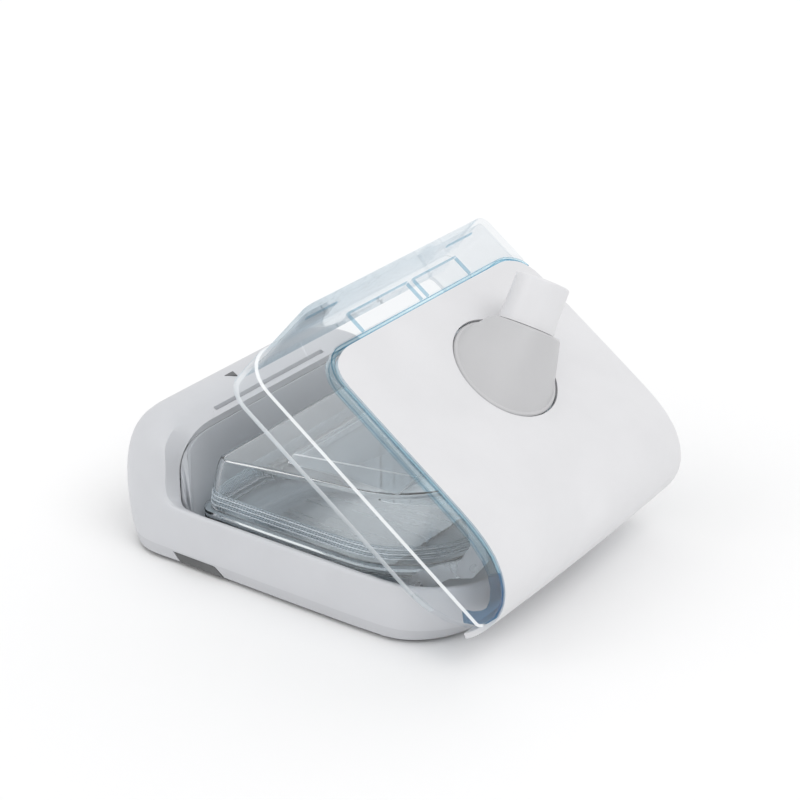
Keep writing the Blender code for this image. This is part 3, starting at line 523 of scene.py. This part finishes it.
def finishes():
    """Every finish, made once and then looked up by name."""
    want = bpy.context.scene.humidifier_finish
    grain = want.grain
    return {
        "shell": lambda: moulded("moulded_shell", tuple(want.shell), grain, (0.36, 0.48), 0.10),
        "panel": lambda: moulded("moulded_panel", tuple(want.panel), grain, (0.30, 0.40), 0.06),
        # painted shade: darker copy of the white for the elbow's skirt
        "shaded_skirt": lambda: moulded("moulded_skirt", tuple(want.shaded_skirt), grain, (0.30, 0.40), 0.06),
        "liner": lambda: moulded("moulded_liner", tuple(want.liner), grain, (0.30, 0.42), 0.08),
        "mark": lambda: moulded("moulded_mark", (0.10, 0.105, 0.11), grain, (0.4, 0.5), 0.05),
        "clear": lambda: sheet("clear_lid", (0.962, 0.971, 0.978), tuple(want.edge_tint)),
        "edge_blue": lambda: sheet("clear_edge", (0.66, 0.80, 0.87), (0.20, 0.38, 0.50)),
        "trim_deep": lambda: sheet("trim_deep", (0.33, 0.52, 0.68), (0.05, 0.16, 0.30)),
        # painted shade: the shell colour darkened for the band round the foot of the base
        "shell_painted_shade": lambda: moulded("moulded_shell_low", shade(want.shell, 0.90), grain, (0.36, 0.48), 0.10),
        # painted highlight: near-white colour for the light on the lid's ledge and lower rim and the deck's
        # rounded edges
        "edge_painted_highlight": lambda: painted_edge_light("painted_highlight_edge", (0.97, 0.985, 0.995), 0.78),
        # painted highlight: pale, partly see-through colour for the light on the tank's deck and ribs
        "deck": lambda: painted_edge_light("clear_deck", (0.90, 0.93, 0.95), 0.28),
        "rib": lambda: painted_edge_light("clear_rib", (0.86, 0.90, 0.93), 0.35),
        "trim_edge": lambda: sheet("trim_edge", (0.35, 0.60, 0.74), (0.06, 0.20, 0.36)),
        "tank": lambda: clear("clear_tank", tuple(want.clear), 0.03, 0.55, 3.0),
        "trim": lambda: sheet("clear_trim", (0.84, 0.94, 0.97), (0.30, 0.56, 0.70)),
        "frost": lambda: frosted("frosted_duct", (0.74, 0.78, 0.82)),
        "rubber": lambda: soft("foot_rubber", tuple(want.foot), 0.72, 0.0004),
        "seal": lambda: soft("seal_silicone", (0.36, 0.39, 0.42), 0.45, 0.0006, 0.12),
        "steel": lambda: metal("brushed_plate", (0.60, 0.60, 0.61), 0.30, (1.0, 0.04, 1.0)),
        "pin": lambda: metal("turned_pin", (0.56, 0.56, 0.57), 0.24, (0.05, 1.0, 1.0)),
        "brass": lambda: metal("contact_plating", (0.83, 0.66, 0.30), 0.22, (1.0, 1.0, 0.1), 0.08),
        "mica": lambda: flecked("mica_sheet", (0.56, 0.52, 0.44)),
        "board": lambda: board("lacquered_board"),
    }


def frosted(name, base):
    """Half-clear milky plastic."""
    made = Recipe(name)
    made.set(colour=base, glass=0.75, ior=1.49)
    clouds = made.noise(60.0, 3.0)
    gloss = made.ramp(clouds, "Fac", 0.3, 0.7, 0.22, 0.34)
    made.link(gloss, "Color", made.shader, "Roughness")
    made.bump([(clouds, "Fac", 1.0)], 0.06, 0.0003)
    return made.mat


MADE = {}


def finish(name):
    if name not in MADE:
        MADE[name] = finishes()[name]()
    return MADE[name]


def repaint(node, name):
    """Gives a CAD node that keeps its own shape its finish."""
    obj = NODES[node]
    obj.data.materials.clear()
    obj.data.materials.append(finish(name))
    activate(obj)
    bpy.ops.object.shade_smooth_by_angle(angle=math.radians(35.0))


# ---- pieces --------------------------------------------------------------------------------------
class HUMIDIFIER_OT_base(bpy.types.Operator):
    """Moulded outer base with its tall front wall"""
    bl_idname = "humidifier.base"
    bl_label = "Base shell"

    def execute(self, context):
        sizes = context.scene.humidifier_sizes
        obj = copy_of("base_shell", "shell_moulding")
        refine(obj, sizes.edge * 0.6, 1, 40.0, 2, 45.0)
        coat(obj, "shell", "shell_painted_shade")
        # below this level the shell takes its darker copy (slot 1), a painted shade under the lower edge
        shaded_skirt = CAD_BOX[0].z + sizes.skirt_height
        edit(obj)
        bpy.ops.mesh.bisect(plane_co=(0.0, 0.0, shaded_skirt), plane_no=(0.0, 0.0, 1.0))
        leave()
        for face in obj.data.polygons:
            if face.center.z < shaded_skirt:
                face.material_index = 1
        finish_piece(obj, "base", None, "white_shell", "base_shell")
        self.mark(context, obj)
        return {"FINISHED"}


    def mark(self, context, shell):
        """Plain triangle that points at the lid's edge."""
        above = Vector((MARK_ACROSS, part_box("lid_release")[0][1] - MARK_AHEAD, CAD_BOX[1].z))
        context.view_layer.update()
        hit, point, normal, _ = shell.ray_cast(above, Vector((0.0, 0.0, -1.0)))
        if not hit:
            raise RuntimeError("the mark finds no surface under it")
        deselect()
        bpy.ops.mesh.primitive_cylinder_add(
            vertices=3, radius=context.scene.humidifier_sizes.mark_size * 0.5, depth=MARK_DEPTH,
            location=point, rotation=normal.to_track_quat("Z", "Y").to_euler())
        obj = context.active_object
        obj.name = "arrow_mark"
        bpy.ops.object.transform_apply(location=True, rotation=True, scale=True)
        finish_piece(obj, "base", finish("mark"), "grey_liner")


class HUMIDIFIER_OT_liner(bpy.types.Operator):
    """Grey tray inside the base"""
    bl_idname = "humidifier.liner"
    bl_label = "Inner tray"

    def execute(self, context):
        sizes = context.scene.humidifier_sizes
        obj = copy_of("base_liner", "liner_moulding")
        refine(obj, sizes.edge * 0.5, 1, 35.0, 2, 45.0)
        finish_piece(obj, "base", finish("liner"), "grey_liner", "base_liner")
        return {"FINISHED"}


class HUMIDIFIER_OT_tank(bpy.types.Operator):
    """Clear water tank: lower shell, upper shell, baffle and seal"""
    bl_idname = "humidifier.tank"
    bl_label = "Water tank"

    def execute(self, context):
        sizes = context.scene.humidifier_sizes
        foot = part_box("tank_lid")[0][2] + RIB_START
        for k in range(RIB_COUNT):
            self.rib(k, foot + RIB_STEP * k, sizes.rib)
        for node, name in (("tank_base", "tank_lower"), ("tank_lid", "tank_upper")):
            obj = copy_of(node, name)
            refine(obj, sizes.clear_edge, 1, 32.0, 2, 40.0)
            finish_piece(obj, "tank", finish("tank"), "clear_plastic", node)
        self.deck(sizes)
        repaint("tank_baffle", "tank")
        repaint("tank_seal", "seal")
        repaint("tank_heat_plate", "steel")
        return {"FINISHED"}


    def deck(self, sizes):
        """Raised step on the upper shell, higher towards the hinge, with sloping flanks."""
        low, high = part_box("tank_lid")
        deselect()
        bpy.ops.mesh.primitive_cube_add(size=1.0, location=(0.0, 0.0, 0.0))
        obj = bpy.context.active_object
        obj.name = "tank_deck"
        for v in obj.data.vertices:
            rear, top = v.co.y > 0.0, v.co.z > 0.0
            half = DECK_HALF["top" if top else "foot", "back" if rear else "front"]
            seat = high[2] - (0.0 if rear else DECK_FALL)
            v.co = (math.copysign(half, v.co.x), high[1] - DECK_BACK if rear else low[1] + DECK_FRONT,
                    seat + (sizes.deck if top else DECK_GAP))
        # its rounded edges take the painted highlight (slot 1)
        coat(obj, "deck", "edge_painted_highlight")
        refine(obj, sizes.clear_edge, 0, 12.0, 2, 30.0, 1)
        finish_piece(obj, "tank", None, "clear_plastic")

    def rib(self, number, height, size):
        """Low rib round the upper shell, cut from its own wall and thickened."""
        obj = copy_of("tank_lid", "tank_rib_%d" % number)
        for side, level in ((True, height), (False, height + size)):
            edit(obj)
            bpy.ops.mesh.bisect(plane_co=(0.0, 0.0, level), plane_no=(0.0, 0.0, 1.0),
                                clear_inner=side, clear_outer=not side)
            leave()
        apply(obj, "SOLIDIFY", thickness=size, offset=1.0)
        # the rib takes a pale painted highlight colour
        finish_piece(obj, "tank", finish("rib"), "clear_plastic")


class HUMIDIFIER_OT_lid_shell(bpy.types.Operator):
    """Clear walls of the flip-up lid"""
    bl_idname = "humidifier.lid_shell"
    bl_label = "Clear lid"

    def execute(self, context):
        sizes = context.scene.humidifier_sizes
        obj = copy_of("lid_shell", "lid_clear")
        coat(obj, "clear", "edge_blue", "edge_painted_highlight")
        low = min(on_lid(v.co)[2] for v in obj.data.vertices)
        refine(obj, sizes.clear_edge * 0.7, 0, 32.0, 2, 40.0, 1)
        # faces of the ledge step and the lower rim take the painted highlight (slot 2)
        for face in obj.data.polygons:
            up = on_lid(face.center)[2] - low
            slanted = abs(face.normal.dot(LID_UP)) > 0.3
            if slanted and (up < RIM_DEPTH or LEDGE[0] < up < LEDGE[1]):
                face.material_index = 2
        finish_piece(obj, "lid", None, "clear_plastic", "lid_shell")
        bars = [bar(*place, *POCKET_DEPTHS) for place in pocket_plan()]
        finish_piece(joined(bars, "lid_pockets"), "lid", finish("edge_blue"), "clear_plastic")
        for node in ("lid_catch_left", "lid_catch_right", "lid_rib_left", "lid_rib_right"):
            repaint(node, "clear")
        obj = copy_of("lid_trim", "lid_trim_rib")
        coat(obj, "trim", "trim_edge", "trim_deep")
        refine(obj, sizes.clear_edge, 0, 40.0, 2, 40.0, 1)
        for face in obj.data.polygons:
            if on_lid(face.center)[2] < TRIM_TURN and face.material_index == 0:
                face.material_index = 2
        finish_piece(obj, "lid", None, "clear_blue_trim", "lid_trim")
        return {"FINISHED"}


class HUMIDIFIER_OT_lid_panel(bpy.types.Operator):
    """White crowned panel on top of the lid"""
    bl_idname = "humidifier.lid_panel"
    bl_label = "Lid panel"

    def execute(self, context):
        sizes = context.scene.humidifier_sizes
        obj = copy_of("lid_panel", "lid_cover")
        refine(obj, sizes.edge, 1, 40.0, 2, 45.0)
        finish_piece(obj, "lid", finish("panel"), "white_panel", "lid_panel")
        for node in ("lid_duct", "lid_arm_left", "lid_arm_right"):
            repaint(node, "frost")
        repaint("lid_seal", "seal")
        return {"FINISHED"}


class HUMIDIFIER_OT_elbow(bpy.types.Operator):
    """Swivelling outlet elbow"""
    bl_idname = "humidifier.elbow"
    bl_label = "Outlet elbow"

    def execute(self, context):
        sizes = context.scene.humidifier_sizes
        obj = copy_of("elbow", "elbow_moulding")
        refine(obj, sizes.edge * 0.5, 1, 35.0, 2, 40.0)
        # the skirt takes the painted-shade copy of the white, the outlet the plain white
        finish_piece(obj, "elbow_body", finish("shaded_skirt"), "white_panel", "elbow")
        obj = copy_of("elbow_port", "elbow_outlet")
        refine(obj, sizes.edge * 0.4, 1, 35.0, 2, 40.0)
        finish_piece(obj, "elbow_body", finish("panel"), "white_panel", "elbow_port")
        repaint("elbow_oring", "seal")
        repaint("elbow_retainer", "frost")
        return {"FINISHED"}


class HUMIDIFIER_OT_hardware(bpy.types.Operator):
    """Finishes of the heater, docking side, feet and pins"""
    bl_idname = "humidifier.hardware"
    bl_label = "Hardware"

    def execute(self, context):
        plan = {
            "rubber": ["foot_back_left", "foot_back_right", "foot_front_left", "foot_front_right",
                       "side_grip_left", "side_grip_right", "inlet_seal"],
            "liner": ["bottom_cover", "air_inlet", "dock_connector"],
            "steel": ["heater_plate", "heater_spring_a", "heater_spring_b", "heater_spring_c"],
            "pin": ["hinge_pin_left", "hinge_pin_right"],
            "mica": ["heater_insulator", "thermistor"],
            "board": ["control_board"],
            "shell": ["dock_latch", "lid_release"],
            "brass": ["dock_contact_%d" % k for k in range(1, 6)],
        }
        for name, nodes in plan.items():
            for node in nodes:
                repaint(node, name)
        return {"FINISHED"}


# ---- stage ---------------------------------------------------------------------------------------
def soft_light(name, direction, power, spread):
    """A broad far light: the same strength over the whole floor."""
    data = bpy.data.lights.new(name, "SUN")
    data.energy = power
    data.angle = math.radians(spread)
    lamp = bpy.data.objects.new(name, data)
    lamp.rotation_euler = Vector(direction).to_track_quat("Z", "Y").to_euler()
    bpy.context.scene.collection.objects.link(lamp)
    return lamp


class HUMIDIFIER_OT_stage(bpy.types.Operator):
    """Pale floor, soft light and camera"""
    bl_idname = "humidifier.stage"
    bl_label = "Stage"

    def execute(self, context):
        want = context.scene.humidifier_stage
        low, high = CAD_BOX
        middle = (low + high) * 0.5
        deselect()
        bpy.ops.mesh.primitive_grid_add(x_subdivisions=8, y_subdivisions=8, size=9.0, location=(0, 0, low.z))
        floor = context.active_object
        floor.name = "floor"
        made = Recipe("pale_floor")
        made.set(colour=(0.90, 0.90, 0.902), rough=0.8, spec=0.1)
        clouds = made.noise(3.0, 2.0)
        tone = made.ramp(clouds, "Fac", 0.3, 0.7, (0.895, 0.895, 0.898), (0.905, 0.905, 0.907))
        made.link(tone, "Color", made.shader, "Base Color")
        floor.data.materials.append(made.mat)

        world = bpy.data.worlds.new("studio")
        world.use_nodes = True
        world.node_tree.nodes["Background"].inputs["Color"].default_value = (1.0, 1.0, 1.0, 1.0)
        world.node_tree.nodes["Background"].inputs["Strength"].default_value = want.fill
        context.scene.world = world
        soft_light("key_light", (0.10, 0.75, 1.05), want.key, 40.0)
        soft_light("front_light", (1.0, -0.7, 0.8), want.key * 0.4, 34.0)

        back = Vector((math.sin(want.azimuth) * math.cos(want.elevation),
                       -math.cos(want.azimuth) * math.cos(want.elevation), math.sin(want.elevation)))
        data = bpy.data.cameras.new("camera")
        data.lens = want.lens
        data.sensor_width = 36.0
        data.clip_start = 0.01
        camera = bpy.data.objects.new("camera", data)
        aim = middle + Vector((-0.0002, 0.0034, 0.0027))
        camera.location = aim + back * want.distance
        camera.rotation_euler = back.to_track_quat("Z", "Y").to_euler()
        context.scene.collection.objects.link(camera)
        context.scene.camera = camera
        context.scene.view_settings.view_transform = "Standard"
        context.scene.cycles.max_bounces = 28
        context.scene.cycles.transmission_bounces = 28
        context.scene.cycles.transparent_max_bounces = 28
        return {"FINISHED"}


class HUMIDIFIER_PT_panel(bpy.types.Panel):
    """Lists the pieces and their settings"""
    bl_idname = "HUMIDIFIER_PT_panel"
    bl_label = "Humidifier"
    bl_space_type = "VIEW_3D"
    bl_region_type = "UI"
    bl_category = "Humidifier"

    def draw(self, context):
        layout = self.layout
        for group in (context.scene.humidifier_finish, context.scene.humidifier_sizes,
                      context.scene.humidifier_stage):
            for key in group.__annotations__:
                layout.prop(group, key)
        for step in STEPS:
            layout.operator(step.bl_idname)


STEPS = (HUMIDIFIER_OT_base, HUMIDIFIER_OT_liner, HUMIDIFIER_OT_tank, HUMIDIFIER_OT_lid_shell,
         HUMIDIFIER_OT_lid_panel, HUMIDIFIER_OT_elbow, HUMIDIFIER_OT_hardware, HUMIDIFIER_OT_stage)
GROUPS = (("humidifier_finish", HumidifierFinish), ("humidifier_sizes", HumidifierSizes),
          ("humidifier_stage", HumidifierStage))


def register():
    for key, group in GROUPS:
        bpy.utils.register_class(group)
        setattr(bpy.types.Scene, key, bpy.props.PointerProperty(type=group))
    for step in STEPS:
        bpy.utils.register_class(step)
    bpy.utils.register_class(HUMIDIFIER_PT_panel)


def unregister():
    bpy.utils.unregister_class(HUMIDIFIER_PT_panel)
    for step in reversed(STEPS):
        bpy.utils.unregister_class(step)
    for key, group in reversed(GROUPS):
        delattr(bpy.types.Scene, key)
        bpy.utils.unregister_class(group)


def main():
    register()
    for step in STEPS:
        group, action = step.bl_idname.split(".")
        getattr(getattr(bpy.ops, group), action)()
    deselect()


if __name__ == "__main__":
    main()
